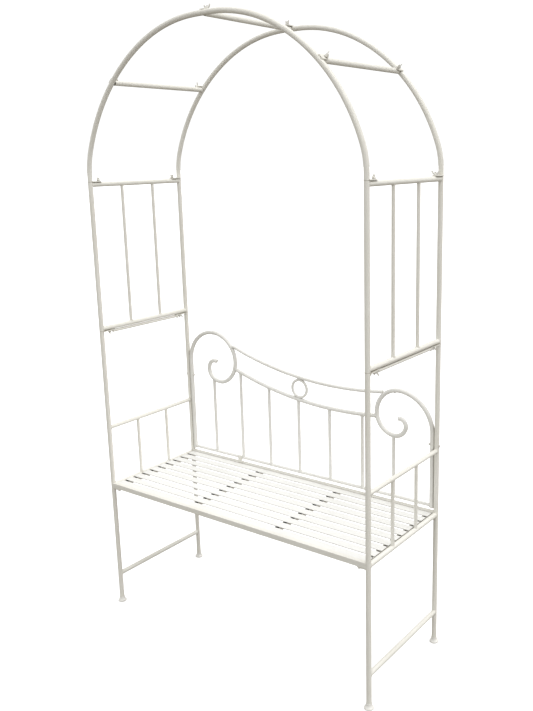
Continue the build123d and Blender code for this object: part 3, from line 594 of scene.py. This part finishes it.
def lathe(bm, profile, steps, matrix=Matrix.Identity(4)):
    """Closed solid of revolution about Z; profile runs from the axis or closes on itself. Millimetres."""
    closed_loop = profile[0] == profile[-1]
    pts = profile[:-1] if closed_loop else profile
    cols = []
    for i in range(steps):
        f = 2 * math.pi * i / steps
        col = []
        for r, z in pts:
            if r < 1e-6 and not closed_loop:
                col.append(None)
            else:
                col.append(bm.verts.new(matrix @ (Vector((r * math.cos(f), r * math.sin(f), z)) * MM)))
        cols.append(col)
    poles = {j: bm.verts.new(matrix @ (Vector((0, 0, z)) * MM)) for j, (r, z) in enumerate(pts)
             if r < 1e-6 and not closed_loop}
    m = len(pts)
    for i in range(steps):
        a, b = cols[i], cols[(i + 1) % steps]
        for j in range(m if closed_loop else m - 1):
            k = (j + 1) % m
            quad = [a[j], b[j], b[k], a[k]]
            verts = []
            for v, idx in zip(quad, (j, j, k, k)):
                v = v if v is not None else poles[idx]
                if v not in verts:
                    verts.append(v)
            if len(verts) >= 3:
                bm.faces.new(verts)


def wing_nut_mesh():
    """Cast wing nut: waisted boss with a countersunk bore, two flared wings with thick rims."""
    bm = bmesh.new()
    lathe(bm, [(3.05, 0.35), (3.5, 0.0), (5.7, 0.0), (6.05, 0.45), (6.0, 1.6), (5.45, 3.6), (5.0, 6.2), (4.8, 7.0),
               (4.3, 7.5), (3.55, 7.5), (3.05, 6.95), (3.05, 0.35)], 56)
    outline = [(3.9, 1.2), (5.6, 1.2), (7.6, 2.5), (9.7, 4.4), (11.4, 6.6), (12.7, 8.8), (13.3, 10.8), (13.1, 12.6),
               (12.0, 13.7), (10.5, 13.7), (9.0, 12.8), (7.9, 11.1), (6.9, 9.0), (5.6, 7.3), (3.9, 6.5)]
    cx = sum(p[0] for p in outline) / len(outline)
    cz = sum(p[1] for p in outline) / len(outline)
    for s in (-1, 1):
        def ring(shrink, y):
            vs = []
            for x, z in outline:
                qx, qz = cx + (x - cx) * shrink, cz + (z - cz) * shrink
                vs.append(bm.verts.new(Vector((s * qx, s * y, qz)) * MM))
            return vs
        # from one face, out over the rounded rim, to the other face
        rings = [ring(k, y) for k, y in ((0.45, -0.85), (0.70, -0.9), (0.84, -1.25), (0.94, -1.3), (1.0, -0.7),
                                         (1.0, 0.7), (0.94, 1.3), (0.84, 1.25), (0.70, 0.9), (0.45, 0.85))]
        n = len(outline)
        for a, b in zip(rings, rings[1:]):
            for k in range(n):
                bm.faces.new((a[k], a[(k + 1) % n], b[(k + 1) % n], b[k]))
        bm.faces.new(rings[0])
        bm.faces.new(list(reversed(rings[-1])))
    bmesh.ops.recalc_face_normals(bm, faces=bm.faces)
    mesh = bpy.data.meshes.new("wing_nut_source")
    bm.to_mesh(mesh)
    bm.free()
    src = bpy.data.objects.new("wing_nut_source", mesh)
    scene.collection.objects.link(src)
    re = src.modifiers.new("remesh", "REMESH")
    re.mode = "VOXEL"
    re.voxel_size = 0.00034
    sm = src.modifiers.new("smooth", "SMOOTH")
    sm.factor = 0.5
    sm.iterations = 5
    dec = src.modifiers.new("decimate", "DECIMATE")
    dec.ratio = 0.35
    bpy.context.view_layer.update()
    dg = bpy.context.evaluated_depsgraph_get()
    done = bpy.data.meshes.new_from_object(src.evaluated_get(dg))
    bpy.data.objects.remove(src)
    for p in done.polygons:
        p.use_smooth = True
    return done


def stud_bm(grip, tip):
    """Headless stud along +Z, its plain end at z = -grip, its threaded end at z = tip. Millimetres."""
    bm = bmesh.new()
    prof = [(0.0, -grip + 0.02), (2.3, -grip + 0.05), (2.8, -grip + 0.22), (2.98, -grip + 0.6), (2.98, 5.0),
            (2.6, 5.2), (0.0, 5.2)]
    lathe(bm, prof, 48)
    # thread, M6 x 1: one continuous helical ridge on the end that shows
    pitch, r_out, r_in = 1.0, 2.98, 2.45
    steps, per = 36, 10
    z0, z1 = 4.9, tip
    rows = int((z1 - z0) / pitch * per)
    grid = []
    for j in range(rows + 1):
        z = z0 + (z1 - z0) * j / rows
        row = []
        for i in range(steps):
            f = 2 * math.pi * i / steps
            ph = ((z / pitch - i / steps) % 1.0)
            tri = 1 - abs(2 * ph - 1)
            tri = min(1.0, max(0.0, (tri - 0.12) / 0.76))
            r = r_in + (r_out - r_in) * tri
            # the last turn runs out into the chamfered end
            r = min(r, r_in - 0.1 + max(0.0, (z1 - z)) * 0.9 + 0.05)
            row.append(bm.verts.new(Vector((r * math.cos(f), r * math.sin(f), z)) * MM))
        grid.append(row)
    for j in range(rows):
        for i in range(steps):
            k = (i + 1) % steps
            bm.faces.new((grid[j][i], grid[j][k], grid[j + 1][k], grid[j + 1][i]))
    low = bm.verts.new(Vector((0, 0, z0)) * MM)
    high = bm.verts.new(Vector((0, 0, z1 + 0.05)) * MM)
    for i in range(steps):
        k = (i + 1) % steps
        bm.faces.new((grid[0][k], grid[0][i], low))
        bm.faces.new((grid[-1][i], grid[-1][k], high))
    return bm


nut_mesh = wing_nut_mesh()
nut_mesh.materials.clear()
nut_mesh.materials.append(bolt_mat)
bolt_pieces = []
for name, seat, out, grip in joints:
    nut = bpy.data.objects.new(name + "_cast_wing_nut", nut_mesh.copy())
    nut.data.transform(placed(seat + out * nut_gap, out, wing_turn[name]))
    scene.collection.objects.link(nut)
    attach(nut, name + "_nut")
    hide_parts(name + "_wing_nut")
    b = stud_bm(grip, 10.4)
    bmesh.ops.transform(b, matrix=placed(seat, out, 0), verts=b.verts)
    bolt = finish_piece(b, name + "_stud", bolt_mat, "arch_frame", smooth_angle=50)
    bolt_pieces.append(bolt)
for bolt in bolt_pieces:
    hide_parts("frame_studs")

# ------------------------------------------------------------------ floor, light, camera
floor_mesh = bpy.data.meshes.new("floor")
fb = bmesh.new()
bmesh.ops.create_grid(fb, x_segments=24, y_segments=24, size=150.0)
fb.to_mesh(floor_mesh)
fb.free()
floor = bpy.data.objects.new("floor", floor_mesh)
scene.collection.objects.link(floor)
floor.location.z = -0.0002
floor_mat = bpy.data.materials.new("studio_floor")
floor_mat.use_nodes = True
ft = floor_mat.node_tree
fbsdf = ft.nodes["Principled BSDF"]
fbsdf.inputs["Roughness"].default_value = 0.9
fbsdf.inputs["Specular IOR Level"].default_value = 0.1
fco = node(ft, "ShaderNodeTexCoord", (-900, 0))
fn = node(ft, "ShaderNodeTexNoise", (-700, 0))
fn.inputs["Scale"].default_value = 2.0
fr = node(ft, "ShaderNodeValToRGB", (-450, 0))
fr.color_ramp.elements[0].color = (0.79, 0.79, 0.79, 1)
fr.color_ramp.elements[1].color = (0.82, 0.82, 0.82, 1)
ft.links.new(fco.outputs["Object"], fn.inputs["Vector"])
ft.links.new(fn.outputs["Fac"], fr.inputs["Fac"])
ft.links.new(fr.outputs["Color"], fbsdf.inputs["Base Color"])
fbsdf.inputs["Emission Color"].default_value = (1, 1, 1, 1)
fbsdf.inputs["Emission Strength"].default_value = 0.55
floor_mesh.materials.append(floor_mat)
floor.visible_diffuse = False
floor.visible_glossy = False
floor.visible_shadow = False

world = bpy.data.worlds.new("studio")
scene.world = world
world.use_nodes = True
wt = world.node_tree
wt.nodes.clear()
wout = node(wt, "ShaderNodeOutputWorld", (600, 0))
wbg = node(wt, "ShaderNodeBackground", (400, 0))
wco = node(wt, "ShaderNodeTexCoord", (-600, 0))
wsep = node(wt, "ShaderNodeSeparateXYZ", (-400, 0))
wmap = node(wt, "ShaderNodeMapRange", (-200, 0))
wmap.inputs["From Min"].default_value = -1.0
wmap.inputs["From Max"].default_value = 1.0
wramp = node(wt, "ShaderNodeValToRGB", (0, 0))
stops = [(0.0, (0.21, 0.19, 0.16)), (0.44, (0.26, 0.245, 0.215)), (0.488, (1.0, 1.0, 1.0)), (0.62, (1.0, 1.0, 1.0)),
         (0.68, (0.64, 0.64, 0.64)), (0.90, (0.72, 0.72, 0.72)), (1.0, (0.80, 0.80, 0.80))]
cr = wramp.color_ramp
while len(cr.elements) < len(stops):
    cr.elements.new(0.5)
for e, (pos, col) in zip(cr.elements, stops):
    e.position = pos
for e, (pos, col) in zip(cr.elements, stops):
    e.color = (*col, 1)
wt.links.new(wco.outputs["Generated"], wsep.inputs[0])
wt.links.new(wsep.outputs[2], wmap.inputs["Value"])
wt.links.new(wmap.outputs["Result"], wramp.inputs["Fac"])
wt.links.new(wramp.outputs["Color"], wbg.inputs["Color"])
wbg.inputs["Strength"].default_value = 1.08
wt.links.new(wbg.outputs[0], wout.inputs[0])


sky = bpy.data.lights.new("overhead_softbox", "SUN")
sky.energy = 1.48
sky.angle = math.radians(55)
sky_o = bpy.data.objects.new("overhead_softbox", sky)
scene.collection.objects.link(sky_o)
sky_o.location = (0, 0, 4)
sky_o.rotation_euler = (math.radians(-8), math.radians(15), 0)

side = bpy.data.lights.new("right_softbox", "SUN")
side.energy = 0.30
side.angle = math.radians(35)
side_o = bpy.data.objects.new("right_softbox", side)
scene.collection.objects.link(side_o)
side_o.location = (3, 0, 2)
side_o.rotation_euler = Vector((0.90, -0.15, 0.35)).to_track_quat("Z", "Y").to_euler()

cam_data = bpy.data.cameras.new("camera")
cam = bpy.data.objects.new("camera", cam_data)
scene.collection.objects.link(cam)
cam_data.sensor_width = 36.0
cam_data.lens = 41.02
cam_data.shift_x = -0.0427
cam_data.shift_y = -0.0189
fwd = Vector((-0.5845, 0.7815, -0.2181)).normalized()
right = Vector((0.8037, 0.5945, -0.0233))
right = (right - fwd * right.dot(fwd)).normalized()
up = right.cross(fwd).normalized()
rot = Matrix((right, up, -fwd)).transposed().to_4x4()
rot.translation = Vector((1.63817, -1.99309, 1.57665))
cam.matrix_world = rot
cam_data.clip_start = 0.05
cam_data.clip_end = 200.0
scene.camera = cam

scene.view_settings.view_transform = "Standard"
scene.view_settings.look = "None"
scene.view_settings.exposure = 0.0
scene.view_settings.gamma = 1.0

bpy.context.view_layer.update()
